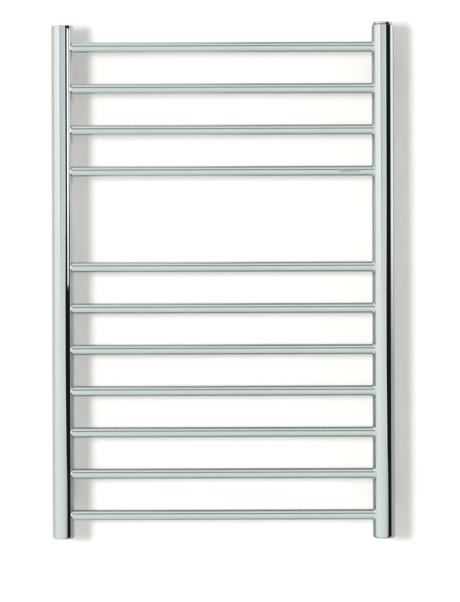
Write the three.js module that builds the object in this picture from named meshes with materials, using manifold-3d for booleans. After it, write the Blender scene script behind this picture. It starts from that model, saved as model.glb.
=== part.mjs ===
// Wall-hung towel radiator, heated by water: two upright tubes joined by eleven horizontal bars,
// held off the wall by four brackets. All sizes are in millimetres.
//
// Frame: +Z is up, -Y is the front, the wall is the plane Y = 0. The origin is on the wall,
// at the middle of the rectangle that the four brackets make.

import * as THREE from 'three';
import { mergeVertices } from 'three/addons/utils/BufferGeometryUtils.js';
import Module from 'manifold-3d';

const wasm = await Module();
wasm.setup();

// ---- Driving dimensions ----------------------------------------------------------------------

const GAP = 0.3; // clearance left between two pieces that touch or slide
const WELD = 1e-4; // distance within which mesh corners count as one

const RACK_HEIGHT = 800; // from the posts' bottom faces to their top faces
const POST_SPACING = 500; // between the posts' axes
const POST_RADIUS = 17;
const POST_WALL = 1.5;
const STAND_OFF = 68; // from the wall to the posts' axes, brackets at mid adjustment

const BAR_RADIUS = 8;
const BAR_WALL = 1;
const BAR_FORWARD = 3; // how far the bars' axes lie in front of the posts' axes
const BAR_PITCH = 64.4; // between neighbouring bars of a group
const WIDE_GAP = 149.3; // between the last bar of the upper group and the first of the lower
const BARS_ABOVE_GAP = 4;
const BARS_BELOW_GAP = 7;
const FIRST_BAR_DROP = 33.9; // from the posts' top faces to the first bar's axis
const BAR_END_INSET = 7; // how far a bar's end lies inside the post's outermost line

const TOP_CAP_THICKNESS = 4;
const PORT_CAP_HEIGHT = 15;
const PORT_CORNER_RADIUS = 4.5;
const PORT_RADIUS = 9.5; // G1/2 female thread, drawn as its plain core bore

const FIXING_HEIGHT = 664; // between the upper and the lower brackets' axes
const BRACKET_RADIUS = 12; // of the base and of the sleeve in front of it
const BASE_THICKNESS = 9;
const SPIGOT_RADIUS = 7.5;
const SPIGOT_END = 43; // from the wall to the spigot's tip
const WALL_SCREW_RADIUS = 3.25; // hole for the wall screw's shank
const DRIVER_BORE_RADIUS = 5.3; // bore that takes the wall screw's head and the driver
const SCREW_SEAT_THICKNESS = 6; // metal between the wall and the wall screw's head
const SOCKET_START = 17; // from the wall to the socket's open end
const GRUB_RADIUS = 2.5;
const GRUB_LENGTH = 4.5;
const GRUB_OFFSET = 24; // from the wall to the grub screw's axis
const GRUB_KEY_RADIUS = 1.44; // from the centre to a corner of the hexagon socket
const GRUB_KEY_DEPTH = 2;

const VENT_CAP_RADIUS = 14.8;
const VENT_CAP_HEIGHT = 4.7; // how far the cap stands above the post
const VENT_CAP_WALL = 1;
const GASKET_HEIGHT = 0.7; // of the ring bonded under the cap's rim
const GASKET_RADIUS = 14.5;
const VENT_PLUG_FLANGE_TOP = 2.5;
const VENT_PLUG_LENGTH = 14; // below the post's top face
const VENT_PLUG_RECESS_RADIUS = 5.5;
const VENT_PLUG_BORE_RADIUS = 4;
const VENT_SEAL = { radius: 10.35, section: 0.65 }; // ring under the plug's flange
const AIR_OUTLET_RADIUS = 1;
const BLEED_HEAD_TOP = 2.2;
const BLEED_SLOT_WIDTH = 1.2;
const BLEED_SLOT_DEPTH = 1.1;
const BLEED_GROOVE = { low: -9.6, high: -7.8, radius: 2.2 }; // seat of the screw's ring
const BLEED_SEAL_SECTION = 0.6;

// Facets round a circle, by the size of the circle.
const POST_SIDES = 32;
const BAR_SIDES = 20;
const BRACKET_SIDES = 24;
const SMALL_SIDES = 16;
const SCREW_SIDES = 12;
const RING_STEPS = 8;
const EDGE_STEPS = 3;

// ---- Sizes worked out from the driving ones --------------------------------------------------

const HALF_HEIGHT = RACK_HEIGHT / 2;
const HALF_SPACING = POST_SPACING / 2;
const SPIGOT_BORE_RADIUS = SPIGOT_RADIUS + GAP;
const BAR_HALF_LENGTH = HALF_SPACING - POST_RADIUS + BAR_END_INSET;

// ---- Materials -------------------------------------------------------------------------------

const chrome = new THREE.MeshStandardMaterial({ color: 0xc8cfcb, roughness: 0.08, metalness: 1 });
const bracketChrome = new THREE.MeshStandardMaterial({ color: 0xc4cac8, roughness: 0.14, metalness: 1 });
const blackSteel = new THREE.MeshStandardMaterial({ color: 0x2b2c2e, roughness: 0.5, metalness: 1 });
const nickelBrass = new THREE.MeshStandardMaterial({ color: 0xb9ae93, roughness: 0.3, metalness: 1 });
const sealRubber = new THREE.MeshStandardMaterial({ color: 0x141414, roughness: 0.75, metalness: 0 });

// ---- Shape helpers ---------------------------------------------------------------------------

// A turned solid about the local Z axis. The outline is a list of [radius, z] corners that runs
// counter-clockwise with the radius to the right, so that the faces point out.
function turned(outline, sides) {
  const points = outline.map(([radius, z]) => new THREE.Vector2(radius, z));
  const geometry = new THREE.LatheGeometry(points, sides);
  geometry.rotateX(Math.PI / 2);
  return geometry;
}

// Corners of an arc about [radius, z], from one angle to another, both ends included.
function arc(radius, z, arcRadius, fromDegrees, toDegrees, steps) {
  const corners = [];
  for (let i = 0; i <= steps; i += 1) {
    const angle = THREE.MathUtils.degToRad(fromDegrees + ((toDegrees - fromDegrees) * i) / steps);
    corners.push([radius + arcRadius * Math.cos(angle), z + arcRadius * Math.sin(angle)]);
  }
  return corners;
}

function closed(outline) {
  return [...outline, outline[0]];
}

// A straight tube along Z.
function tube(outerRadius, innerRadius, low, high, sides) {
  const outline = [[innerRadius, low], [outerRadius, low], [outerRadius, high], [innerRadius, high]];
  return turned(closed(outline), sides);
}

// A rod along Z, with a different radius at each end if it tapers.
function rod(radius, low, high, sides, topRadius = radius) {
  return turned([[0, low], [radius, low], [topRadius, high], [0, high]], sides);
}

// A rubber ring of round section, lying in the XY plane.
function ring(radius, sectionRadius, z, sides) {
  const section = arc(radius, z, sectionRadius, 0, 360, RING_STEPS);
  section[section.length - 1] = section[0];
  return turned(section, sides);
}

// The solid that a closed mesh bounds, for cutting and joining.
function toSolid(geometry) {
  const bare = geometry.clone();
  bare.deleteAttribute('normal');
  bare.deleteAttribute('uv');
  const merged = mergeVertices(bare, WELD);
  const triangles = [];
  for (let i = 0; i < merged.index.count; i += 3) {
    const [a, b, c] = [0, 1, 2].map((k) => merged.index.getX(i + k));
    if (a !== b && b !== c && c !== a) triangles.push(a, b, c);
  }
  return new wasm.Manifold(new wasm.Mesh({
    numProp: 3,
    vertProperties: new Float32Array(merged.attributes.position.array),
    triVerts: new Uint32Array(triangles),
  }));
}

// The first geometry with every other one cut out of it.
function cut(geometry, ...tools) {
  const solid = tools.reduce((rest, tool) => rest.subtract(toSolid(tool)), toSolid(geometry));
  const mesh = solid.getMesh();
  const result = new THREE.BufferGeometry();
  result.setAttribute('position', new THREE.BufferAttribute(new Float32Array(mesh.vertProperties), 3));
  result.setIndex(new THREE.BufferAttribute(new Uint32Array(mesh.triVerts), 1));
  result.computeVertexNormals();
  return result;
}

function addPiece(parent, name, geometry, material) {
  const piece = new THREE.Mesh(geometry, material);
  piece.name = name;
  parent.add(piece);
  return piece;
}

// ---- Bars and posts --------------------------------------------------------------------------

// Heights of the bars' axes, from the top bar down.
function barHeights() {
  const heights = [];
  let z = HALF_HEIGHT - FIRST_BAR_DROP;
  for (let i = 1; i <= BARS_ABOVE_GAP + BARS_BELOW_GAP; i += 1) {
    heights.push(z);
    z -= i === BARS_ABOVE_GAP ? WIDE_GAP : BAR_PITCH;
  }
  return heights;
}

function addBars(parent) {
  barHeights().forEach((z, i) => {
    const length = BAR_HALF_LENGTH;
    const geometry = tube(BAR_RADIUS, BAR_RADIUS - BAR_WALL, -length, length, BAR_SIDES);
    geometry.rotateY(Math.PI / 2);
    const name = `bar_${String(i + 1).padStart(2, '0')}`;
    addPiece(parent, name, geometry, chrome).position.set(0, -STAND_OFF - BAR_FORWARD, z);
  });
}

// A post is a tube with a hole for each bar in the side that faces the other post.
// inward is +1 where that side faces +X, -1 where it faces -X.
function postGeometry(inward) {
  const low = -HALF_HEIGHT + PORT_CAP_HEIGHT + GAP;
  const high = HALF_HEIGHT - TOP_CAP_THICKNESS - GAP;
  const holes = barHeights().map((z) => {
    const hole = rod(BAR_RADIUS + GAP, 0, 2 * POST_RADIUS, BAR_SIDES);
    hole.rotateY((inward * Math.PI) / 2);
    hole.translate(0, -BAR_FORWARD, z);
    return hole;
  });
  return cut(tube(POST_RADIUS, POST_RADIUS - POST_WALL, low, high, POST_SIDES), ...holes);
}

// The turned end that is welded under a post, with the port for the water pipe.
function portCapGeometry() {
  const chamfer = 1;
  const flatRadius = POST_RADIUS - PORT_CORNER_RADIUS;
  const outline = [
    [PORT_RADIUS, chamfer],
    [PORT_RADIUS + chamfer, 0],
    ...arc(flatRadius, PORT_CORNER_RADIUS, PORT_CORNER_RADIUS, -90, 0, EDGE_STEPS),
    [POST_RADIUS, PORT_CAP_HEIGHT],
    [PORT_RADIUS, PORT_CAP_HEIGHT],
  ];
  return turned(closed(outline), POST_SIDES);
}

// The disc that is welded flush into a post's top.
function blankTopCapGeometry() {
  const chamfer = 0.4;
  const outline = [
    [0, -TOP_CAP_THICKNESS],
    [POST_RADIUS, -TOP_CAP_THICKNESS],
    [POST_RADIUS, -chamfer],
    [POST_RADIUS - chamfer, 0],
    [0, 0],
  ];
  return turned(outline, POST_SIDES);
}

// The same disc with a threaded port and a seat for the plug's seal.
function portedTopCapGeometry() {
  const chamfer = 0.4;
  const seatRadius = 11.5;
  const seatDepth = 1.6;
  const outline = [
    [PORT_RADIUS, -TOP_CAP_THICKNESS],
    [POST_RADIUS, -TOP_CAP_THICKNESS],
    [POST_RADIUS, -chamfer],
    [POST_RADIUS - chamfer, 0],
    [seatRadius, 0],
    [seatRadius, -seatDepth],
    [PORT_RADIUS, -seatDepth],
  ];
  return turned(closed(outline), POST_SIDES);
}

function addPost(parent, side, inward, topCapGeometry) {
  const post = new THREE.Group();
  post.position.set(-inward * HALF_SPACING, -STAND_OFF, 0);
  parent.add(post);
  addPiece(post, `${side}_post`, postGeometry(inward), chrome);
  addPiece(post, `${side}_port_cap`, portCapGeometry(), chrome).position.z = -HALF_HEIGHT;
  addPiece(post, `${side}_top_cap`, topCapGeometry, chrome).position.z = HALF_HEIGHT;
}

// ---- Air vent in the right post's top --------------------------------------------------------
// Local Z = 0 is the post's top face.

function ventPlugGeometry() {
  const shankRadius = PORT_RADIUS - GAP;
  const flangeRadius = VENT_CAP_RADIUS - VENT_CAP_WALL - GAP;
  const chamfer = 0.5;
  const orificeRadius = 1.5;
  const recessFloor = -0.5;
  const seatTop = 2.5; // above the plug's bottom
  const seatBottom = 1.5;
  const bottom = -VENT_PLUG_LENGTH;
  const outline = [
    [orificeRadius, bottom],
    [shankRadius - chamfer, bottom],
    [shankRadius, bottom + chamfer],
    [shankRadius, GAP],
    [flangeRadius, GAP],
    [flangeRadius, VENT_PLUG_FLANGE_TOP - chamfer],
    [flangeRadius - chamfer, VENT_PLUG_FLANGE_TOP],
    [VENT_PLUG_RECESS_RADIUS, VENT_PLUG_FLANGE_TOP],
    [VENT_PLUG_RECESS_RADIUS, recessFloor],
    [VENT_PLUG_BORE_RADIUS, recessFloor],
    [VENT_PLUG_BORE_RADIUS, bottom + seatTop],
    [orificeRadius, bottom + seatBottom],
  ];
  const outlet = rod(AIR_OUTLET_RADIUS, 0, 2 * flangeRadius, SCREW_SIDES);
  outlet.rotateX(-Math.PI / 2);
  outlet.translate(0, 0, VENT_PLUG_FLANGE_TOP / 2);
  return cut(turned(closed(outline), BRACKET_SIDES), outlet);
}

function bleedScrewGeometry() {
  const shankRadius = VENT_PLUG_BORE_RADIUS - GAP;
  const headRadius = VENT_PLUG_RECESS_RADIUS - GAP;
  const headUnderside = -0.2;
  const chamfer = 0.3;
  const tip = -11.9;
  const tipRadius = 1.4;
  const coneTop = -11; // of the cone that closes the plug's orifice
  const outline = [
    [0, tip],
    [tipRadius, tip],
    [shankRadius, coneTop],
    [shankRadius, BLEED_GROOVE.low],
    [BLEED_GROOVE.radius, BLEED_GROOVE.low],
    [BLEED_GROOVE.radius, BLEED_GROOVE.high],
    [shankRadius, BLEED_GROOVE.high],
    [shankRadius, headUnderside],
    [headRadius, headUnderside],
    [headRadius, BLEED_HEAD_TOP - chamfer],
    [headRadius - chamfer, BLEED_HEAD_TOP],
    [0, BLEED_HEAD_TOP],
  ];
  const slot = new THREE.BoxGeometry(4 * headRadius, BLEED_SLOT_WIDTH, 2 * BLEED_SLOT_DEPTH);
  slot.translate(0, 0, BLEED_HEAD_TOP);
  return cut(turned(outline, SMALL_SIDES), slot);
}

function ventCapGeometry() {
  const edgeRadius = 1.2;
  const innerRadius = VENT_CAP_RADIUS - VENT_CAP_WALL;
  const ceiling = VENT_CAP_HEIGHT - VENT_CAP_WALL;
  const rim = GAP + GASKET_HEIGHT + GAP;
  const outline = [
    [0, ceiling],
    [innerRadius, ceiling],
    [innerRadius, rim],
    [VENT_CAP_RADIUS, rim],
    ...arc(VENT_CAP_RADIUS - edgeRadius, VENT_CAP_HEIGHT - edgeRadius, edgeRadius, 0, 90, EDGE_STEPS),
    [0, VENT_CAP_HEIGHT],
  ];
  return turned(outline, BRACKET_SIDES);
}

function ventGasketGeometry() {
  const innerRadius = VENT_CAP_RADIUS - VENT_CAP_WALL;
  return tube(GASKET_RADIUS, innerRadius, GAP, GAP + GASKET_HEIGHT, BRACKET_SIDES);
}

function addAirVent(parent) {
  const vent = new THREE.Group();
  vent.position.set(HALF_SPACING, -STAND_OFF, HALF_HEIGHT);
  parent.add(vent);
  const plugSeal = ring(VENT_SEAL.radius, VENT_SEAL.section, -VENT_SEAL.section, BRACKET_SIDES);
  const grooveMiddle = (BLEED_GROOVE.low + BLEED_GROOVE.high) / 2;
  const grooveRadius = (BLEED_GROOVE.radius + VENT_PLUG_BORE_RADIUS) / 2;
  const screwSeal = ring(grooveRadius, BLEED_SEAL_SECTION, grooveMiddle, SMALL_SIDES);
  addPiece(vent, 'vent_plug', ventPlugGeometry(), nickelBrass);
  addPiece(vent, 'vent_plug_seal', plugSeal, sealRubber);
  addPiece(vent, 'bleed_screw', bleedScrewGeometry(), nickelBrass);
  addPiece(vent, 'bleed_screw_seal', screwSeal, sealRubber);
  addPiece(vent, 'vent_cap', ventCapGeometry(), chrome);
  addPiece(vent, 'vent_cap_gasket', ventGasketGeometry(), sealRubber);
}

// ---- Wall brackets ---------------------------------------------------------------------------
// Local +Z points out of the wall and local +Y points up.

// Base and spigot in one piece, bored right through for the wall screw.
function wallStemGeometry() {
  const chamfer = 0.6;
  const outline = [
    [WALL_SCREW_RADIUS, 0],
    [BRACKET_RADIUS, 0],
    [BRACKET_RADIUS, BASE_THICKNESS - chamfer],
    [BRACKET_RADIUS - chamfer, BASE_THICKNESS],
    [SPIGOT_RADIUS, BASE_THICKNESS],
    [SPIGOT_RADIUS, SPIGOT_END - chamfer],
    [SPIGOT_RADIUS - chamfer, SPIGOT_END],
    [DRIVER_BORE_RADIUS, SPIGOT_END],
    [DRIVER_BORE_RADIUS, SCREW_SEAT_THICKNESS],
    [WALL_SCREW_RADIUS, SCREW_SEAT_THICKNESS],
  ];
  return turned(closed(outline), BRACKET_SIDES);
}

// Sleeve that is welded to the post's back and slides over the spigot.
function socketGeometry() {
  const sleeve = tube(BRACKET_RADIUS, SPIGOT_BORE_RADIUS, SOCKET_START, STAND_OFF, BRACKET_SIDES);
  const post = rod(POST_RADIUS + GAP, -2 * BRACKET_RADIUS, 2 * BRACKET_RADIUS, POST_SIDES);
  post.rotateX(Math.PI / 2);
  post.translate(0, 0, STAND_OFF);
  const grubHole = rod(GRUB_RADIUS + GAP, 0, 2 * BRACKET_RADIUS, SCREW_SIDES);
  grubHole.rotateX(Math.PI / 2);
  grubHole.translate(0, 0, GRUB_OFFSET);
  return cut(sleeve, post, grubHole);
}

// Set screw in the socket's underside, with a hexagon socket for its key.
function grubScrewGeometry() {
  const tip = SPIGOT_BORE_RADIUS;
  const end = tip + GRUB_LENGTH;
  const chamfer = 0.4;
  const outline = [
    [0, tip],
    [GRUB_RADIUS - chamfer, tip],
    [GRUB_RADIUS, tip + chamfer],
    [GRUB_RADIUS, end],
    [0, end],
  ];
  const key = rod(GRUB_KEY_RADIUS, end - GRUB_KEY_DEPTH, end + 1, 6);
  const geometry = cut(turned(outline, SCREW_SIDES), key);
  geometry.rotateX(Math.PI / 2);
  geometry.translate(0, 0, GRUB_OFFSET);
  return geometry;
}

function addBracket(parent, place, x, z) {
  const bracket = new THREE.Group();
  bracket.position.set(x, 0, z);
  bracket.rotation.x = Math.PI / 2;
  parent.add(bracket);
  addPiece(bracket, `wall_stem_${place}`, wallStemGeometry(), bracketChrome);
  addPiece(bracket, `socket_${place}`, socketGeometry(), bracketChrome);
  addPiece(bracket, `grub_screw_${place}`, grubScrewGeometry(), blackSteel);
}

// ---- The whole radiator ----------------------------------------------------------------------

const towelRadiator = new THREE.Group();
addPost(towelRadiator, 'left', 1, blankTopCapGeometry());
addPost(towelRadiator, 'right', -1, portedTopCapGeometry());
addBars(towelRadiator);
addAirVent(towelRadiator);
for (const [row, z] of [['upper', FIXING_HEIGHT / 2], ['lower', -FIXING_HEIGHT / 2]]) {
  for (const [side, x] of [['left', -HALF_SPACING], ['right', HALF_SPACING]]) {
    addBracket(towelRadiator, `${row}_${side}`, x, z);
  }
}

export default towelRadiator;
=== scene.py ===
"""Looks of the wall-hung towel radiator: plated tubes, air vent, brackets, wall, light and camera."""
import math

import bmesh
import bpy
from mathutils import Matrix, Vector


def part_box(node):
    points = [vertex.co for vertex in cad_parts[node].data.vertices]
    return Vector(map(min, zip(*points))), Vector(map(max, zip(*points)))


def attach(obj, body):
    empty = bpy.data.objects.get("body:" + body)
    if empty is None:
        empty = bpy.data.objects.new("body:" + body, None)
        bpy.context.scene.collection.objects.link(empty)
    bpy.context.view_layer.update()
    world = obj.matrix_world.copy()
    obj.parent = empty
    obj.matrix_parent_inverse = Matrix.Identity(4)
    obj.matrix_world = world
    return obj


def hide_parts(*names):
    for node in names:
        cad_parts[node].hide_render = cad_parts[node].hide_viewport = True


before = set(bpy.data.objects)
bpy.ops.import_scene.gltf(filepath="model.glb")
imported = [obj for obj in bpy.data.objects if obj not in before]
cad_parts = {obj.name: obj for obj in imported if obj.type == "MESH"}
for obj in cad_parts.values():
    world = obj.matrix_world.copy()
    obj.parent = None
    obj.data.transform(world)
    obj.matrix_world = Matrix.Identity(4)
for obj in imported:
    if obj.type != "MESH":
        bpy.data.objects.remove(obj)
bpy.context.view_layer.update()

MM = 0.001

# ---- Sizes read from the frame ---------------------------------------------------------------

post_low, post_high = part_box("left_post")
POST_RADIUS = (post_high.x - post_low.x) / 2
POST_Y = (post_low.y + post_high.y) / 2
POST_X = -(post_low.x + post_high.x) / 2
RACK_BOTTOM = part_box("left_port_cap")[0].z
RACK_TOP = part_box("left_top_cap")[1].z
BAR_NAMES = sorted(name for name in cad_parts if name.startswith("bar_"))
BAR_RADIUS = (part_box("bar_01")[1].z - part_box("bar_01")[0].z) / 2
PLACES = ("upper_left", "upper_right", "lower_left", "lower_right")

# ---- Finish of the pieces --------------------------------------------------------------------

POST_WALL = 1.5 * MM
BAR_WALL = 1.0 * MM
BRAZE_RADIUS = 2.4 * MM  # fillet where a bar meets a post
WELD_RADIUS = 1.2 * MM  # fillet where a bracket's sleeve meets a post
SINK = 0.03 * MM  # how far a fillet's rim lies under the post's surface
HAIRLINE = 0.05 * MM  # rounding of two edges that meet at a polished seam
SUPPORT = 0.3 * MM  # distance from a corner's rounding to the ring that ends its shading

SAME = 0.001 * MM  # two radii closer than this are one
PIPE_PITCH = 1.814 * MM  # of the G1/2 thread

# Facets round a circle, by the size of the circle, and steps across a fillet.
POST_SIDES = 160
BAR_SIDES = 96
SMALL_SIDES = 72
TINY_SIDES = 48
FILLET_STEPS = 10
SHARP_DEGREES = 32  # faces that turn by more than this meet in a sharp edge


# ---- Mesh helpers ----------------------------------------------------------------------------

def finish_mesh(name, mesh, material):
    """A smooth-shaded object from a mesh, sharp only where its faces turn by a clear angle."""
    mesh.polygons.foreach_set("use_smooth", [True] * len(mesh.polygons))
    mesh.set_sharp_from_angle(angle=math.radians(SHARP_DEGREES))
    obj = bpy.data.objects.new(name, mesh)
    bpy.context.scene.collection.objects.link(obj)
    mesh.materials.append(material)
    return obj


def skin(name, rings, material, looped):
    """A closed object through rings of points. A ring of one point is a pole.

    A looped skin joins its last ring to its first; any other starts and ends in a pole.
    """
    bm = bmesh.new()
    made = [[bm.verts.new(point) for point in ring] for ring in rings]
    pairs = list(zip(made, made[1:]))
    if looped:
        pairs.append((made[-1], made[0]))
    for lower, upper in pairs:
        count = max(len(lower), len(upper))
        for i in range(count):
            j = (i + 1) % count
            if len(lower) == 1:
                bm.faces.new((lower[0], upper[j], upper[i]))
            elif len(upper) == 1:
                bm.faces.new((lower[i], lower[j], upper[0]))
            else:
                bm.faces.new((lower[i], lower[j], upper[j], upper[i]))
    bmesh.ops.recalc_face_normals(bm, faces=bm.faces)
    mesh = bpy.data.meshes.new(name)
    bm.to_mesh(mesh)
    bm.free()
    return finish_mesh(name, mesh, material)


def circle(sides):
    """Angles of the points round a circle."""
    return [2 * math.pi * i / sides for i in range(sides)]


def rounded(corners, looped):
    """Points of an outline whose corners are (radius, height, rounding). Rounding 0 stays sharp."""
    points = []
    count = len(corners)
    for i, (r, z, rounding) in enumerate(corners):
        at_end = not looped and i in (0, count - 1)
        here = Vector((r, z))
        if rounding <= 0 or at_end:
            points.append(here)
            continue
        before = (Vector(corners[i - 1][:2]) - here).normalized()
        after = (Vector(corners[(i + 1) % count][:2]) - here).normalized()
        half = before.angle(after) / 2
        centre = here + (before + after).normalized() * (rounding / math.sin(half))
        first = here + before * (rounding / math.tan(half)) - centre
        last = here + after * (rounding / math.tan(half)) - centre
        turn = first.angle_signed(last)
        steps = max(5, round(rounding / (0.3 * MM)))
        for k in range(steps + 1):
            points.append(centre + Matrix.Rotation(-turn * k / steps, 2) @ first)
    return supported(points, looped)


def supported(points, looped):
    """Adds a point near each end of every long edge, so that only the rounded corners shade round."""
    result = []
    ends = points[1:] + points[:1] if looped else points[1:] + [None]
    for here, after in zip(points, ends):
        result.append(here)
        if after is not None and (after - here).length > 4 * SUPPORT:
            step = (after - here).normalized() * SUPPORT
            result += [here + step, after - step]
    return result


def turned(name, corners, sides, place, material, looped, shape=None):
    """A turned piece about its local Z axis. shape(radius, z, angle) may change a point's radius."""
    rings = []
    for r, z in rounded(corners, looped):
        if r < SAME:
            rings.append([place @ Vector((0, 0, z))])
            continue
        ring = []
        for angle in circle(sides):
            radius = shape(r, z, angle) if shape else r
            ring.append(place @ Vector((radius * math.cos(angle), radius * math.sin(angle), z)))
        rings.append(ring)
    return skin(name, rings, material, looped)


def thread(pitch, depth, low, high):
    """Shape of a screw thread, cut into the radius between two heights and fading at its ends."""
    def shape(r, z, angle):
        if not low < z < high:
            return r
        phase = (z / pitch - angle / (2 * math.pi)) % 1
        fade = min(1, (z - low) / pitch, (high - z) / pitch)
        return r + depth * fade * (1 - abs(2 * phase - 1))
    return shape


def only_at(radius, groove):
    """Limits a thread's shape to the points at one radius."""
    def shape(r, z, angle):
        return groove(r, z, angle) if abs(r - radius) < SAME else r
    return shape


def cut(target, tool):
    """Takes a tool object's shape out of a target object, and the tool away."""
    modifier = target.modifiers.new("cut", "BOOLEAN")
    modifier.operation = "DIFFERENCE"
    modifier.solver = "EXACT"
    modifier.object = tool
    bpy.context.view_layer.update()
    evaluated = target.evaluated_get(bpy.context.evaluated_depsgraph_get())
    mesh = bpy.data.meshes.new_from_object(evaluated)
    target.modifiers.clear()
    target.data = mesh
    mesh.set_sharp_from_angle(angle=math.radians(SHARP_DEGREES))
    bpy.data.objects.remove(tool)


def rise(low, high, count):
    """Evenly spaced heights strictly between two heights."""
    return [low + (high - low) * (i + 1) / (count + 1) for i in range(count)]


def add(obj, body, slot, *nodes):
    """Makes a piece ride on a body in place of its CAD nodes. The slot argument is not used."""
    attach(obj, body)
    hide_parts(*nodes)
    return obj


# ---- Materials -------------------------------------------------------------------------------

class Shader:
    """A material's node tree, built one node at a time."""

    def __init__(self, name):
        self.material = bpy.data.materials.new(name)
        self.material.use_nodes = True
        self.tree = self.material.node_tree
        self.tree.nodes.clear()

    def node(self, kind, settings=None, **inputs):
        """Adds a node. A socket among the inputs is linked, and any other value is set."""
        made = self.tree.nodes.new(kind)
        for key, value in (settings or {}).items():
            setattr(made, key, value)
        for key, value in inputs.items():
            numbered = key[0] == "i" and key[1:].isdigit()
            socket = made.inputs[int(key[1:]) if numbered else key]
            if isinstance(value, bpy.types.NodeSocket):
                self.tree.links.new(value, socket)
            else:
                socket.default_value = value
        return made

    def math(self, operation, a, b=0.0):
        return self.node("ShaderNodeMath", {"operation": operation}, i0=a, i1=b).outputs[0]

    def remap(self, value, low, high, new_low, new_high, smooth=True):
        settings = {"interpolation_type": "SMOOTHSTEP" if smooth else "LINEAR"}
        made = self.node("ShaderNodeMapRange", settings, Value=value)
        made.inputs["From Min"].default_value = low
        made.inputs["From Max"].default_value = high
        made.inputs["To Min"].default_value = new_low
        made.inputs["To Max"].default_value = new_high
        return made.outputs[0]

    def blend(self, factor, a, b):
        """A number that goes from a to b as the factor goes from 0 to 1."""
        return self.node("ShaderNodeMix", Factor=factor, A=a, B=b).outputs["Result"]

    def mix(self, factor, a, b):
        """A colour that goes from a to b as the factor goes from 0 to 1."""
        made = self.node("ShaderNodeMix", {"data_type": "RGBA"}, Factor=factor)
        for key, value in (("A", a), ("B", b)):
            if isinstance(value, bpy.types.NodeSocket):
                self.tree.links.new(value, made.inputs[key])
            else:
                made.inputs[key].default_value = (*value, 1)
        return made.outputs["Result"]

    def place(self, scale):
        """The point on the piece, in metres, stretched by a scale per axis."""
        point = self.node("ShaderNodeTexCoord").outputs["Object"]
        return self.node("ShaderNodeMapping", Vector=point, Scale=scale).outputs[0]

    def noise(self, scale, detail=2.0, roughness=0.5):
        made = self.node("ShaderNodeTexNoise", Vector=self.place(scale), Scale=1.0, Detail=detail)
        made.inputs["Roughness"].default_value = roughness
        return made.outputs[0]

    def bump(self, height, distance, normal=None):
        made = self.node("ShaderNodeBump", Height=height, Distance=distance, Strength=1.0)
        if normal is not None:
            self.tree.links.new(normal, made.inputs["Normal"])
        return made.outputs[0]

    def glossy(self, colour, rough, normal, metallic):
        """Closes the material as a solid with this colour, roughness and bump."""
        bsdf = self.node("ShaderNodeBsdfPrincipled", Metallic=metallic, Roughness=rough, Normal=normal)
        self.tree.links.new(colour, bsdf.inputs["Base Color"])
        return self.surface(bsdf)

    def surface(self, shader):
        output = self.node("ShaderNodeOutputMaterial")
        self.tree.links.new(shader.outputs[0], output.inputs["Surface"])
        return self.material


def across(axis, along, around):
    """Texture scale that is fine along one axis and coarse round it."""
    return tuple(along if i == axis else around for i in range(3))


def scaled(colour, factor):
    return tuple(part * factor for part in colour)


def plated(name, axis, tint, roughness, lines=1.0):
    """Bright plate on a drawn and polished tube that runs along one axis (0 = X, 1 = Y, 2 = Z)."""
    s = Shader(name)
    swell = s.noise(across(axis, 7, 34), 1.0)
    polish = s.noise(across(axis, 5200, 60), 2.0)
    haze = s.noise(across(axis, 18, 46), 4.0, 0.62)
    marks = s.noise(across(axis, 90, 700), 3.0, 0.7)
    hazed = s.remap(haze, 0.5, 0.78, 0.0, 0.05)
    marked = s.remap(marks, 0.62, 0.8, 0.0, 0.06)
    rough = s.math("ADD", s.math("ADD", hazed, marked), roughness)
    colour = s.mix(haze, scaled(tint, 1.03), scaled(tint, 0.95))
    normal = s.bump(polish, 0.00025 * MM * lines, s.bump(swell, 0.05 * MM))
    return s.glossy(colour, rough, normal, 1.0)


def machined(name, tint, roughness, spread):
    """Turned metal with fine tool marks and a mottled oxide or plate."""
    s = Shader(name)
    mottle = s.noise((900, 900, 900), 4.0, 0.6)
    rings = s.noise((150, 150, 9000), 1.0)
    colour = s.mix(mottle, scaled(tint, 1 + spread), scaled(tint, 1 - spread))
    rough = s.remap(mottle, 0.3, 0.7, roughness * 0.75, roughness * 1.3)
    return s.glossy(colour, rough, s.bump(rings, 0.002 * MM), 1.0)


def etched(name, tint):
    """Plate dulled by a laser: a fine crossed grain with no picture in it."""
    s = Shader(name)
    grain = s.noise((9000, 9000, 9000), 2.0)
    passes = s.noise((120, 4500, 4500), 2.0)
    rough = s.remap(grain, 0.3, 0.7, 0.30, 0.46)
    colour = s.mix(passes, tint, scaled(tint, 0.8))
    return s.glossy(colour, rough, s.bump(passes, 0.004 * MM), 1.0)


def rubber(name):
    """Matt black moulded rubber with a dusty bloom."""
    s = Shader(name)
    bloom = s.noise((1500, 1500, 1500), 5.0, 0.6)
    colour = s.mix(bloom, (0.012, 0.012, 0.013), (0.035, 0.035, 0.036))
    rough = s.remap(bloom, 0.3, 0.7, 0.55, 0.8)
    return s.glossy(colour, rough, s.bump(bloom, 0.01 * MM), 0.0)


PLATE_TINT = (0.60, 0.625, 0.615)
post_plate = plated("post_plate", 2, PLATE_TINT, 0.03)
bar_plate = plated("bar_plate", 0, PLATE_TINT, 0.05)
bracket_plate = plated("bracket_plate", 1, PLATE_TINT, 0.08, 3.0)
vent_plate = plated("vent_plate", 2, PLATE_TINT, 0.06, 2.0)
etched_plate = etched("etched_plate", (0.49, 0.52, 0.505))
nickel_brass = machined("nickel_brass", (0.55, 0.49, 0.37), 0.26, 0.08)
black_steel = machined("black_steel", (0.045, 0.046, 0.05), 0.42, 0.25)
seal_rubber = rubber("seal_rubber")


# ---- Posts -----------------------------------------------------------------------------------

def post_place(x, z):
    return Matrix.Translation((x, POST_Y, z))


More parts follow.
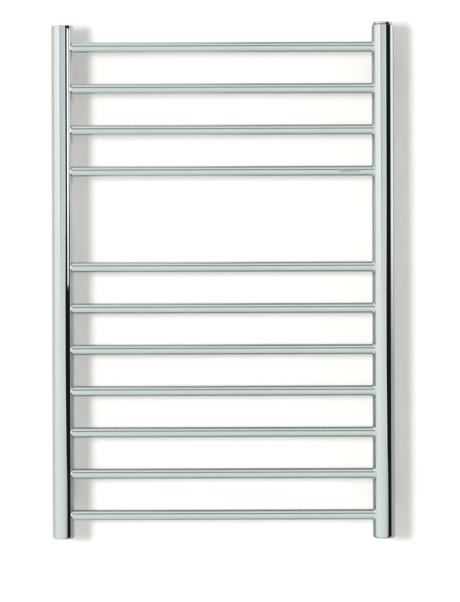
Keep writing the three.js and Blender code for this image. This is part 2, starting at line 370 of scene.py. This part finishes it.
def make_post(side, x):
    """The upright tube between its foot and its top disc."""
    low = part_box(f"{side}_port_cap")[1].z
    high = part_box(f"{side}_top_cap")[0].z
    corners = [
        (POST_RADIUS - POST_WALL, low, 0),
        (POST_RADIUS, low, HAIRLINE),
        (POST_RADIUS, high, HAIRLINE),
        (POST_RADIUS - POST_WALL, high, 0),
    ]
    tube = turned(f"{side}_post_tube", corners, POST_SIDES, post_place(x, 0), post_plate, True)
    add(tube, "rack", "chrome", f"{side}_post")


def make_port_cap(side, x):
    """The post's rounded foot, with the female thread for the water pipe."""
    low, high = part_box(f"{side}_port_cap")
    height = high.z - low.z
    core = 9.3 * MM
    mouth = 1.2 * MM
    edge = 4.5 * MM
    corners = [
        (core + mouth, 0, 0.1 * MM),
        (POST_RADIUS, 0, edge),
        (POST_RADIUS, height, HAIRLINE),
        (core, height, 0),
    ]
    corners += [(core, z, 0) for z in reversed(rise(mouth, height, 60))]
    corners.append((core, mouth, 0))
    groove = only_at(core, thread(PIPE_PITCH, 1.1 * MM, mouth, height - 1 * MM))
    place = post_place(x, low.z)
    cap = turned(f"{side}_foot", corners, POST_SIDES, place, post_plate, True, groove)
    add(cap, "rack", "chrome", f"{side}_port_cap")


def make_blank_top(side, x):
    """The plain disc that closes a post."""
    low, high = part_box(f"{side}_top_cap")
    corners = [
        (0, 0, 0),
        (POST_RADIUS, 0, HAIRLINE),
        (POST_RADIUS, high.z - low.z, 0.5 * MM),
        (0, high.z - low.z, 0),
    ]
    cap = turned(f"{side}_top_disc", corners, POST_SIDES, post_place(x, low.z), post_plate, False)
    add(cap, "rack", "chrome", f"{side}_top_cap")


def make_ported_top(side, x):
    """The disc with the vent plug's bore, and a seat for the plug's ring."""
    low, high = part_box(f"{side}_top_cap")
    height = high.z - low.z
    bore, seat, seat_depth = 9.5 * MM, 11.5 * MM, 1.6 * MM
    corners = [
        (bore, 0, 0.1 * MM),
        (POST_RADIUS, 0, HAIRLINE),
        (POST_RADIUS, height, 0.5 * MM),
        (seat, height, 0.15 * MM),
        (seat, height - seat_depth, 0.1 * MM),
        (bore, height - seat_depth, 0.1 * MM),
    ]
    cap = turned(f"{side}_top_disc", corners, POST_SIDES, post_place(x, low.z), post_plate, True)
    add(cap, "rack", "chrome", f"{side}_top_cap")


# ---- Tubes that end on a post ----------------------------------------------------------------

def saddle_fillet(radius, fillet, sides, offset=0.0):
    """Rings of the fillet between a tube along X and a post along Z, from the post to the tube.

    Points are measured from the post's axis, with X running along the tube away from the post.
    offset is how far the tube's axis lies beside the post's, along Y.
    """
    rings = []
    for step in range(FILLET_STEPS + 1):
        share = 1 - step / FILLET_STEPS
        ring = []
        for angle in circle(sides):
            outward = Vector((0, math.cos(angle), math.sin(angle)))
            centre = outward * (radius + fillet) + Vector((0, offset, 0))
            centre.x = math.sqrt((POST_RADIUS + fillet) ** 2 - centre.y ** 2)
            to_post = -Vector((centre.x, centre.y, 0)).normalized()
            reach = fillet + SINK * share
            ring.append(centre + (-outward).slerp(to_post, share) * reach)
        rings.append(ring)
    rings.append([point + Vector((SUPPORT, 0, 0)) for point in rings[-1]])
    return rings


def saddle_ring(radius, sides, offset=0.0):
    """Points where a plain tube along X meets the post's surface."""
    ring = []
    for angle in circle(sides):
        y, z = offset + radius * math.cos(angle), radius * math.sin(angle)
        ring.append(Vector((math.sqrt(POST_RADIUS ** 2 - y ** 2), y, z)))
    return ring


def make_bar(name):
    """A hollow bar, flared by the braze where it meets a post at each end."""
    low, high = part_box(name)
    z = (low.z + high.z) / 2
    offset = (low.y + high.y) / 2 - POST_Y
    fillet = saddle_fillet(BAR_RADIUS, BRAZE_RADIUS, BAR_SIDES, offset)
    bore = saddle_ring(BAR_RADIUS - BAR_WALL, BAR_SIDES, offset)

    def left(point):
        return Vector((point.x - POST_X, point.y + POST_Y, point.z + z))

    def right(point):
        return Vector((POST_X - point.x, point.y + POST_Y, point.z + z))

    rings = [[left(p) for p in ring] for ring in fillet]
    rings += [[right(p) for p in ring] for ring in reversed(fillet)]
    rings += [[right(p) for p in bore], [left(p) for p in bore]]
    add(skin(f"{name}_tube", rings, bar_plate, True), "rack", "chrome", name)


def make_etched_panel(bar, x, length, height):
    """A blank satin panel etched into a bar's front, where a maker would put a mark."""
    low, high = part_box(bar)
    centre = (low + high) / 2
    corner = 0.3 * height
    outline = []
    for angle in circle(BAR_SIDES):
        across_x, across_z = math.cos(angle), math.sin(angle)
        u = math.copysign(length / 2 - corner, across_x) + corner * across_x
        v = math.copysign(height / 2 - corner, across_z) + corner * across_z
        outline.append((u, v))
    steps = 12

    def ring(share, radius):
        points = []
        for u, v in outline:
            angle = v * share / BAR_RADIUS
            y, z = -radius * math.cos(angle), radius * math.sin(angle)
            points.append(Vector((x + u * share, centre.y + y, centre.z + z)))
        return points

    def pole(radius):
        return [Vector((x, centre.y - radius, centre.z))]

    inside, outside = BAR_RADIUS - 0.1 * MM, BAR_RADIUS + 0.015 * MM
    shares = [(k + 1) / steps for k in range(steps)]
    rings = [pole(inside)] + [ring(share, inside) for share in shares]
    rings += [ring(share, outside) for share in reversed(shares)] + [pole(outside)]
    panel = skin("etched_panel", rings, etched_plate, False)
    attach(panel, "rack")


# ---- Air vent --------------------------------------------------------------------------------

def torus_ring(name, node, body, sides):
    """A rubber ring of round section about the right post's axis."""
    low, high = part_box(node)
    section = (high.z - low.z) / 2
    middle = (high.x - low.x) / 2 - section
    place = post_place(POST_X, (low.z + high.z) / 2)
    rings = []
    for turn in circle(24):
        r, z = middle + section * math.cos(turn), section * math.sin(turn)
        rings.append([
            place @ Vector((r * math.cos(angle), r * math.sin(angle), z))
            for angle in circle(sides)
        ])
    add(skin(name, rings, seal_rubber, True), body, "seal_rubber", node)


def make_vent_cap():
    """The cover of the air vent, on a black gasket that shows as a dark line under its rim."""
    low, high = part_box("vent_cap")
    radius = (high.x - low.x) / 2
    height = high.z - low.z
    wall = 1 * MM
    corners = [
        (0, height - wall, 0),
        (radius - wall, height - wall, 0.5 * MM),
        (radius - wall, 0, 0.2 * MM),
        (radius, 0, 0.3 * MM),
        (radius, height, 1.3 * MM),
        (0, height, 0),
    ]
    cover_place = post_place(POST_X, low.z)
    cover = turned("vent_cover", corners, POST_SIDES, cover_place, vent_plate, False)
    add(cover, "vent_cap", "chrome", "vent_cap")
    gasket_low, gasket_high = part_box("vent_cap_gasket")
    outer = (gasket_high.x - gasket_low.x) / 2
    inner = radius - wall
    top = low.z - gasket_low.z
    section = [
        (inner, 0, 0.1 * MM),
        (outer, 0, 0.2 * MM),
        (outer, top, 0.05 * MM),
        (inner, top, 0.05 * MM),
    ]
    place = post_place(POST_X, gasket_low.z)
    ring = turned("vent_gasket", section, POST_SIDES, place, seal_rubber, True)
    add(ring, "vent_cap", "seal_rubber", "vent_cap_gasket")


def make_vent_plug():
    """The vent's threaded body: a flange with a recess for the screw, and an air hole in its side."""
    low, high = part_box("vent_plug")
    top = high.z - low.z
    flange = (high.x - low.x) / 2
    shank, recess, bore, orifice = 9.2 * MM, 5.5 * MM, 4 * MM, 1.5 * MM
    flange_low = top - 2.2 * MM
    recess_floor = top - 3 * MM
    corners = [(orifice, 0, 0), (shank - 0.5 * MM, 0, 0), (shank, 0.5 * MM, 0)]
    corners += [(shank, z, 0) for z in rise(0.5 * MM, flange_low, 60)]
    corners += [
        (shank, flange_low, 0),
        (flange, flange_low, 0.15 * MM),
        (flange, top, 0.4 * MM),
        (recess, top, 0.2 * MM),
        (recess, recess_floor, 0.2 * MM),
        (bore, recess_floor, 0.15 * MM),
        (bore, 2.5 * MM, 0),
        (orifice, 1.5 * MM, 0),
    ]
    groove = only_at(shank, thread(PIPE_PITCH, -1.0 * MM, 0.5 * MM, flange_low - 1.5 * MM))
    place = post_place(POST_X, low.z)
    plug = turned("vent_plug_body", corners, POST_SIDES, place, nickel_brass, True, groove)
    tilt = Matrix.Rotation(math.radians(90), 4, "X")
    hole = [(0, 0, 0), (1 * MM, 0, 0), (1 * MM, 2 * flange, 0), (0, 2 * flange, 0)]
    tool_place = post_place(POST_X, high.z - 1.1 * MM) @ tilt
    cut(plug, turned("outlet_tool", hole, 32, tool_place, nickel_brass, False))
    add(plug, "rack", "nickel_brass", "vent_plug")


def make_bleed_screw():
    """The slotted screw that shuts the vent, with a groove for its ring."""
    low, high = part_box("bleed_screw")
    top = high.z - low.z
    head = (high.x - low.x) / 2
    shank, neck = 3.7 * MM, 2.2 * MM
    head_low = top - 2.4 * MM
    groove_low, groove_high = 2.3 * MM, 4.1 * MM
    thread_low, thread_high = groove_high + 0.3 * MM, head_low - 0.3 * MM
    corners = [
        (0, 0, 0),
        (1.4 * MM, 0, 0.1 * MM),
        (shank, 0.9 * MM, 0.1 * MM),
        (shank, groove_low, 0.1 * MM),
        (neck, groove_low, 0.15 * MM),
        (neck, groove_high, 0.15 * MM),
        (shank, groove_high, 0.1 * MM),
    ]
    corners += [(shank, z, 0) for z in rise(thread_low, thread_high, 40)]
    corners += [
        (shank, head_low, 0),
        (head, head_low, 0.15 * MM),
        (head, top, 0.3 * MM),
        (0, top, 0),
    ]
    groove = only_at(shank, thread(1.0 * MM, -0.55 * MM, thread_low, thread_high))
    place = post_place(POST_X, low.z)
    screw = turned("bleed_screw_body", corners, SMALL_SIDES, place, nickel_brass, False, groove)
    slot = bmesh.new()
    bmesh.ops.create_cube(slot, size=1)
    size = Matrix.Diagonal((4 * head, 1.2 * MM, 2.2 * MM, 1))
    bmesh.ops.transform(slot, matrix=post_place(POST_X, high.z) @ size, verts=slot.verts)
    mesh = bpy.data.meshes.new("slot_tool")
    slot.to_mesh(mesh)
    slot.free()
    cut(screw, finish_mesh("slot_tool", mesh, nickel_brass))
    add(screw, "bleed_screw", "nickel_brass", "bleed_screw")


# ---- Brackets --------------------------------------------------------------------------------

def bracket_place(x, z):
    """From a bracket's own frame, with Z pointing out of the wall, to the rack's frame."""
    return Matrix.Translation((x, 0, z)) @ Matrix.Rotation(math.radians(90), 4, "X")


def make_bracket(place_name):
    low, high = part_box(f"wall_stem_{place_name}")
    x, z = (low.x + high.x) / 2, (low.z + high.z) / 2
    radius = (high.x - low.x) / 2
    place = bracket_place(x, z)
    make_stem(place_name, place, radius, -low.y)
    make_socket(place_name, x, z, radius)
    make_grub_screw(place_name)


def make_stem(place_name, place, radius, length):
    """The turned base on the wall and its spigot, bored for the wall screw."""
    spigot, screw_hole, driver_bore = 7.5 * MM, 3.25 * MM, 5.3 * MM
    base, seat = 9 * MM, 6 * MM
    corners = [
        (screw_hole, 0, 0.2 * MM),
        (radius, 0, 0.3 * MM),
        (radius, base, 1.0 * MM),
        (spigot, base, 0.4 * MM),
        (spigot, length, 0.7 * MM),
        (driver_bore, length, 0.3 * MM),
        (driver_bore, seat, 0.1 * MM),
        (screw_hole, seat, 0.2 * MM),
    ]
    stem = turned(f"stem_{place_name}", corners, BAR_SIDES, place, bracket_plate, True)
    add(stem, "wall_stems", "bracket_chrome", f"wall_stem_{place_name}")


def make_socket(place_name, x, z, radius):
    """The sleeve over the spigot, shaped to the post it is welded to."""
    node = f"socket_{place_name}"
    mouth = -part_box(node)[1].y
    bore = 7.8 * MM
    turn = Matrix.Translation((x, POST_Y, z)) @ Matrix.Rotation(math.radians(90), 4, "Z")
    mouth_x = -POST_Y - mouth
    rings = saddle_fillet(radius, WELD_RADIUS, BAR_SIDES)
    end = rounded([
        (radius, 0, 0),
        (radius, mouth_x, 0.8 * MM),
        (bore, mouth_x, 0.3 * MM),
        (bore, 0, 0),
    ], False)[1:-1]
    for r, along in end:
        rings.append([
            Vector((along, r * math.cos(angle), r * math.sin(angle)))
            for angle in circle(BAR_SIDES)
        ])
    rings.append(saddle_ring(bore, BAR_SIDES))
    rings = [[turn @ p for p in ring] for ring in rings]
    sleeve = skin(f"sleeve_{place_name}", rings, bracket_plate, True)
    low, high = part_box(f"grub_screw_{place_name}")
    hole = [(0, 0, 0), (2.8 * MM, 0, 0), (2.8 * MM, 2 * radius, 0), (0, 2 * radius, 0)]
    down = Matrix.Rotation(math.radians(180), 4, "X")
    centre = (low + high) / 2
    tool_place = Matrix.Translation((centre.x, centre.y, z)) @ down
    cut(sleeve, turned("grub_tool", hole, TINY_SIDES, tool_place, bracket_plate, False))
    add(sleeve, "rack", "bracket_chrome", node)


def make_grub_screw(place_name):
    """The set screw in a sleeve's underside, with its hexagon socket facing down."""
    node = f"grub_screw_{place_name}"
    low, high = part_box(node)
    centre = (low + high) / 2
    radius, length = (high.x - low.x) / 2, high.z - low.z
    down = Matrix.Translation((centre.x, centre.y, high.z)) @ Matrix.Rotation(math.radians(180), 4, "X")
    corners = [(0, 0, 0), (radius, 0, 0.4 * MM)]
    corners += [(radius, z, 0) for z in rise(0.4 * MM, length, 30)]
    corners += [(radius, length, 0.2 * MM), (0, length, 0)]
    groove = only_at(radius, thread(0.8 * MM, -0.35 * MM, 0.5 * MM, length - 0.2 * MM))
    screw = turned(f"set_screw_{place_name}", corners, TINY_SIDES, down, black_steel, False, groove)
    key_radius, key_depth = 1.44 * MM, 2 * MM
    key = [
        (0, length - key_depth, 0),
        (key_radius, length - key_depth, 0),
        (key_radius, length + 1 * MM, 0),
        (0, length + 1 * MM, 0),
    ]
    hexagon = 6
    cut(screw, turned("key_tool", key, hexagon, down, black_steel, False))
    add(screw, "rack", "black_steel", node)


# ---- The whole radiator ----------------------------------------------------------------------

for side, x in (("left", -POST_X), ("right", POST_X)):
    make_post(side, x)
    make_port_cap(side, x)
make_blank_top("left", -POST_X)
make_ported_top("right", POST_X)
for bar_name in BAR_NAMES:
    make_bar(bar_name)
make_etched_panel("bar_04", 198 * MM, 36 * MM, 4.6 * MM)
make_vent_cap()
make_vent_plug()
make_bleed_screw()
torus_ring("plug_ring", "vent_plug_seal", "rack", BAR_SIDES)
torus_ring("screw_ring", "bleed_screw_seal", "bleed_seal", SMALL_SIDES)
for bracket in PLACES:
    make_bracket(bracket)


# ---- Studio ----------------------------------------------------------------------------------
#
# Angles are in degrees. Azimuth 0 points straight out from the wall and 90 to the right along it.
# Elevation 90 points straight up. The studio is brighter than 1 where the plate mirrors it white.

WALL_COLOUR = (0.90, 0.90, 0.89)
FLOOR_COLOUR = (0.86, 0.87, 0.86)
BACKDROP = (1.0, 1.0, 0.99)  # what the camera sees past the wall and the floor

ROOM_BELOW = (0.93, 1.01, 0.97)  # at eye height, below and above the horizon
ROOM_ABOVE = (0.84, 0.95, 0.94)
GAP = (0.27, 0.31, 0.29)
CEILING = (1.06, 1.17, 1.12)
OVERHEAD = (0.02, 0.03, 0.025)
FLOOR_AHEAD = (1.03, 1.15, 1.10)
FLOOR_UNDER = (0.75, 0.84, 0.80)

BOX_BELOW = (1.09, 1.18, 1.13)  # the soft box, below and above the horizon
BOX_ABOVE = (1.36, 1.33, 1.30)
BOX_RIM = (1.50, 1.52, 1.48)
BOX_FRAME = (0.62, 0.68, 0.66)

FLAG = (0.012, 0.014, 0.013)
FLAG_LINE = (1.30, 1.38, 1.34)  # along the flag's near edge
FLAG_SHADE = (0.72, 0.79, 0.76)  # beside its foot

MATT_ROOM = (0.625, 0.625, 0.615)  # the even room that matt surfaces see
MATT_LAMP = (1.9, 1.9, 1.87)


def stage_plane(name, centre, size, normal_axis, material):
    """A flat sheet of the set, facing its normal."""
    bm = bmesh.new()
    bmesh.ops.create_grid(bm, x_segments=1, y_segments=1, size=0.5)
    turn = Vector((0, 0, 1)).rotation_difference(Vector(normal_axis)).to_matrix().to_4x4()
    fit = Matrix.Translation(centre) @ turn @ Matrix.Diagonal((size[0], size[1], 1, 1))
    bmesh.ops.transform(bm, matrix=fit, verts=bm.verts)
    mesh = bpy.data.meshes.new(name)
    bm.to_mesh(mesh)
    bm.free()
    obj = finish_mesh(name, mesh, material)
    return obj


def one_sided(s, paint):
    """Closes a material of the set that the camera looks through from its back."""
    camera_ray = s.node("ShaderNodeLightPath").outputs["Is Camera Ray"]
    behind = s.node("ShaderNodeNewGeometry").outputs["Backfacing"]
    clear = s.node("ShaderNodeBsdfTransparent")
    mix = s.node("ShaderNodeMixShader", Fac=s.math("MULTIPLY", camera_ray, behind))
    s.tree.links.new(paint.outputs[0], mix.inputs[1])
    s.tree.links.new(clear.outputs[0], mix.inputs[2])
    return s.surface(mix)


def wall_paint_with_painted_shade(name, colour):
    """Matt wall paint. The plated tubes mirror it dimmed.

    How far it is dimmed goes by the place on the wall, as painted shade in the tubes' mirror
    image: darkest behind the rack's lower bars and in the right post's shadow, brightest at the
    upper right, and painted black far off to the right.
    """
    s = Shader(name)
    point = s.node("ShaderNodeTexCoord").outputs["Object"]
    x, _, z = s.node("ShaderNodeSeparateXYZ", Vector=point).outputs
    # Painted shade: a map of how dark the tubes' mirror image of the wall is, by place.
    upper = s.remap(z, -0.16, 0.13, 0.0, 1.0)
    low_middle = s.remap(x, -0.14, -0.06, 0.49, 0.42)
    high_middle = s.remap(x, -0.06, 0.08, 0.84, 0.54)
    middle = s.blend(upper, low_middle, high_middle)
    right = s.math("ADD", 0.54, s.math("MULTIPLY", upper, 0.75))
    right = s.blend(s.remap(x, 0.325, 0.37, 0.0, 1.0), 0.42, right)
    shade = s.blend(s.remap(x, 0.26, 0.29, 0.0, 1.0), middle, right)
    shade = s.blend(s.remap(x, -0.30, -0.26, 1.0, 0.0), shade, 0.80)
    shade = s.blend(s.remap(x, 2.2, 2.5, 0.0, 1.0), shade, 0.0)
    # Only mirror rays that have met no matt surface yet see the painted shade.
    path = s.node("ShaderNodeLightPath").outputs
    direct = s.math("SUBTRACT", 1.0, s.math("MINIMUM", path["Diffuse Depth"], 1.0))
    mirrored = s.math("MULTIPLY", path["Is Glossy Ray"], direct)
    painted_mirror_shade = s.blend(mirrored, 1.0, shade)
    paint = s.node("ShaderNodeVectorMath", {"operation": "SCALE"}, i0=colour)
    s.tree.links.new(painted_mirror_shade, paint.inputs["Scale"])
    return one_sided(s, s.node("ShaderNodeBsdfDiffuse", Color=paint.outputs[0]))


def floor_paint(name, colour):
    """Matt pale paint with a faint mottle."""
    s = Shader(name)
    shade = s.mix(s.noise((9, 9, 9), 3.0), colour, scaled(colour, 0.97))
    return one_sided(s, s.node("ShaderNodeBsdfDiffuse", Color=shade))


def make_room():
    width, wall_height, floor_depth, floor_z = 24, 8, 12, -1.1
    wall = wall_paint_with_painted_shade("wall_paint_with_painted_shade", WALL_COLOUR)
    stage_plane("wall", (0, 0, floor_z + wall_height / 2), (width, wall_height), (0, -1, 0), wall)
    floor = floor_paint("floor_paint", FLOOR_COLOUR)
    floor_centre = (0, -floor_depth / 2, floor_z)
    plane = stage_plane("floor", floor_centre, (width, floor_depth), (0, 0, 1), floor)
    plane.visible_glossy = False


def area_light(name, place, target, shape, size, power, colour=(1.0, 1.0, 1.0)):
    """A flat lamp that faces a point. The camera never sees it."""
    data = bpy.data.lights.new(name, "AREA")
    data.shape = shape
    data.size, data.size_y = size
    data.energy = power
    data.color = colour
    light = bpy.data.objects.new(name, data)
    bpy.context.scene.collection.objects.link(light)
    light.location = place
    light.rotation_euler = (Vector(target) - Vector(place)).to_track_quat("-Z", "Y").to_euler()
    light.visible_camera = False
    return light


def even_light(light):
    """Makes a lamp light near and far things alike."""
    data = light.data
    data.use_nodes = True
    emission = data.node_tree.nodes["Emission"]
    falloff = data.node_tree.nodes.new("ShaderNodeLightFalloff")
    falloff.inputs["Strength"].default_value = 1.0
    data.node_tree.links.new(falloff.outputs["Constant"], emission.inputs["Strength"])


def graded_light(light, low, high, share):
    """Dims a lamp from full strength at one height to a share of it at a lower one."""
    data = light.data
    data.use_nodes = True
    tree = data.node_tree
    point = tree.nodes.new("ShaderNodeNewGeometry")
    split = tree.nodes.new("ShaderNodeSeparateXYZ")
    grade = tree.nodes.new("ShaderNodeMapRange")
    for key, value in (("From Min", low), ("From Max", high), ("To Min", share), ("To Max", 1.0)):
        grade.inputs[key].default_value = value
    tree.links.new(point.outputs["Position"], split.inputs[0])
    tree.links.new(split.outputs["Z"], grade.inputs["Value"])
    tree.links.new(grade.outputs[0], tree.nodes["Emission"].inputs["Strength"])


def light_only(light, *names):
    """Lets a lamp reach only the named pieces."""
    lit = bpy.data.collections.new(f"{light.name}_receivers")
    for name in names:
        lit.objects.link(bpy.data.objects[name])
    light.light_linking.receiver_collection = lit


def toward(azimuth, depth, z, start_x=0.0):
    """A point in the room: azimuth 0 straight out from the posts, 90 to the right along the wall."""
    turn = math.radians(azimuth)
    return Vector((start_x + depth * math.sin(turn), POST_Y - depth * math.cos(turn), z))


def panel(name, azimuth, low, high, width, power, *names):
    """A lamp between two heights that only the named pieces mirror, seen from the left post."""
    distance = 2.52
    middle = (low + high) / 2
    place = toward(azimuth, distance, middle, -POST_X)
    target = (-POST_X, POST_Y, middle)
    light = area_light(name, place, target, "RECTANGLE", (width, high - low), power)
    light_only(light, *names)
    return light


def make_lights():
    """A soft lamp at the left for the shadows, and panels that only some of the tubes mirror."""
    key_place, key_size = toward(-21.95, 5.28, 0.15), (1.06, 1.06)
    key = area_light("key_light", key_place, (0, 0, 0), "DISK", key_size, 5.4, (1.0, 0.995, 0.98))
    even_light(key)
    key.visible_glossy = False

    # The left post's white line, whose lower end is softer, and the grey one beside it.
    low, fade_low, top = 0.009, 0.17, 0.632
    glint = panel("glint_light", 62.5, low, top, 0.66, 3.5, "left_post_tube")
    graded_light(glint, 0.0, 0.35, 0.50)
    side = panel("side_light", 85, fade_low, top, 0.60, 0.9, "left_post_tube")
    graded_light(side, fade_low, fade_low + 0.2, 0.0)

    # White spots on the braze at the bars' left ends.
    panel("joint_light", 50, -0.65, 1.05, 2.1, 22, *[f"{name}_tube" for name in BAR_NAMES])


class WorldShader(Shader):
    """The studio round the rack: what plated metal reflects, by the direction it looks in."""

    def __init__(self):
        self.world = bpy.data.worlds.new("studio")
        self.world.use_nodes = True
        self.tree = self.world.node_tree
        self.tree.nodes.clear()

    def band(self, value, low, high, soft):
        """1 between two angles and 0 outside them, with soft edges."""
        rising = self.remap(value, low - soft, low + soft, 0.0, 1.0)
        falling = self.remap(value, high - soft, high + soft, 1.0, 0.0)
        return self.math("MULTIPLY", rising, falling)


def make_world():
    s = WorldShader()
    direction = s.node("ShaderNodeTexCoord").outputs["Generated"]
    x, y, z = s.node("ShaderNodeSeparateXYZ", Vector=direction).outputs
    degrees = 180 / math.pi
    azimuth = s.math("MULTIPLY", s.math("ARCTAN2", x, s.math("MULTIPLY", y, -1.0)), degrees)
    elevation = s.math("MULTIPLY", s.math("ARCSINE", z), degrees)

    # The room at eye height: a touch dimmer and bluer above the horizon than below it.
    upper = s.remap(elevation, -5.0, 5.0, 0.0, 1.0, False)
    above = s.remap(elevation, -1.0, 3.0, 0.0, 1.0)
    room = s.mix(upper, ROOM_BELOW, ROOM_ABOVE)
    # Above: a dark gap, then a lit ceiling, then the dark over the lamps.
    gap = s.band(elevation, 19, 40, 3)
    ceiling = s.mix(s.remap(elevation, 36, 44, 0.0, 1.0), room, CEILING)
    ceiling = s.mix(gap, ceiling, GAP)
    ceiling = s.mix(s.remap(elevation, 75, 83, 0.0, 1.0), ceiling, OVERHEAD)
    # Below: a pale floor that darkens under the rack.
    floor = s.mix(s.remap(elevation, -14, -5, 1.0, 0.0), ceiling, FLOOR_AHEAD)
    floor = s.mix(s.remap(elevation, -52, -28, 1.0, 0.0), floor, FLOOR_UNDER)

    # A broad soft box on the left. Above the horizon it has a clear edge, a bright rim inside
    # it and a dark frame outside; below the horizon its light falls away slowly to the right.
    box = s.mix(upper, BOX_BELOW, BOX_ABOVE)
    soft_reach = s.remap(azimuth, -50.0, 30.0, 1.0, 0.0, False)
    sharp_reach = s.remap(azimuth, -29.0, -25.0, 1.0, 0.0)
    reach = s.blend(above, soft_reach, sharp_reach)
    near = s.math("MULTIPLY", s.remap(azimuth, -115.0, -105.0, 0.0, 1.0), reach)
    studio = s.mix(near, floor, box)
    studio = s.mix(s.math("MULTIPLY", s.band(azimuth, -38, -29, 1.5), above), studio, BOX_RIM)
    studio = s.mix(s.math("MULTIPLY", s.band(azimuth, -24, -15, 1.5), above), studio, BOX_FRAME)

    # A black flag on the right. Its near edge leans to the right above the horizon, and in two
    # steps below it. A bright line runs along that edge, and gives way to a shade at the foot.
    edge = s.math("ADD", s.remap(elevation, -2.9, -1.4, 6.0, 0.0, False),
                  s.remap(elevation, -3.6, -2.9, 9.0, 0.0, False))
    edge = s.math("ADD", edge, s.remap(elevation, 0.0, 2.0, 28.5, 33.5, False))
    past = s.math("SUBTRACT", azimuth, edge)
    level = s.remap(s.math("ABSOLUTE", elevation), 55.0, 75.0, 1.0, 0.0)
    line = s.math("MULTIPLY", s.band(past, -7.0, 0.0, 1.0), level)
    studio = s.mix(line, studio, FLAG_LINE)
    foot = s.math("MULTIPLY", s.remap(elevation, -4.0, -2.3, 1.0, 0.0), level)
    shade = s.math("MULTIPLY", s.remap(past, -34.0, -6.0, 0.0, 1.0), foot)
    studio = s.mix(shade, studio, FLAG_SHADE)
    flag = s.math("MULTIPLY", s.remap(past, -2.0, 2.0, 0.0, 1.0), level)
    flag = s.math("MULTIPLY", flag, s.remap(azimuth, 84.5, 88.0, 1.0, 0.0))
    studio = s.mix(flag, studio, FLAG)

    # Matt surfaces see an even room instead, with a long lamp just above eye height.
    path = s.node("ShaderNodeLightPath").outputs
    lamp = s.math("MULTIPLY", s.band(elevation, 1.5, 7.0, 0.5), s.band(azimuth, -60, 60, 5.0))
    matt = s.mix(lamp, MATT_ROOM, MATT_LAMP)
    ambient = s.mix(s.math("MINIMUM", path["Diffuse Depth"], 1.0), studio, matt)
    colour = s.mix(path["Is Camera Ray"], ambient, BACKDROP)
    background = s.node("ShaderNodeBackground", Color=colour)
    output = s.node("ShaderNodeOutputWorld")
    s.tree.links.new(background.outputs[0], output.inputs["Surface"])
    s.world.cycles.sampling_method = "NONE"
    bpy.context.scene.world = s.world


def make_camera():
    """Square on to the wall, from far enough away that the posts stay parallel."""
    distance = 4.5
    frame_height = 0.9393  # metres across the picture's height, at the posts
    aside, below = 0.0108, 0.0297  # from the rack's middle
    roll = math.radians(0.17)
    data = bpy.data.cameras.new("camera")
    data.sensor_fit = "VERTICAL"
    data.sensor_height = 24
    data.lens = data.sensor_height * distance / frame_height
    data.clip_end = 100
    camera = bpy.data.objects.new("camera", data)
    bpy.context.scene.collection.objects.link(camera)
    middle = (RACK_TOP + RACK_BOTTOM) / 2
    camera.location = (aside, POST_Y - distance, middle - below)
    camera.rotation_euler = (math.radians(90), roll, 0)
    bpy.context.scene.camera = camera


make_room()
make_lights()
make_world()
make_camera()
bpy.context.scene.view_settings.view_transform = "Standard"
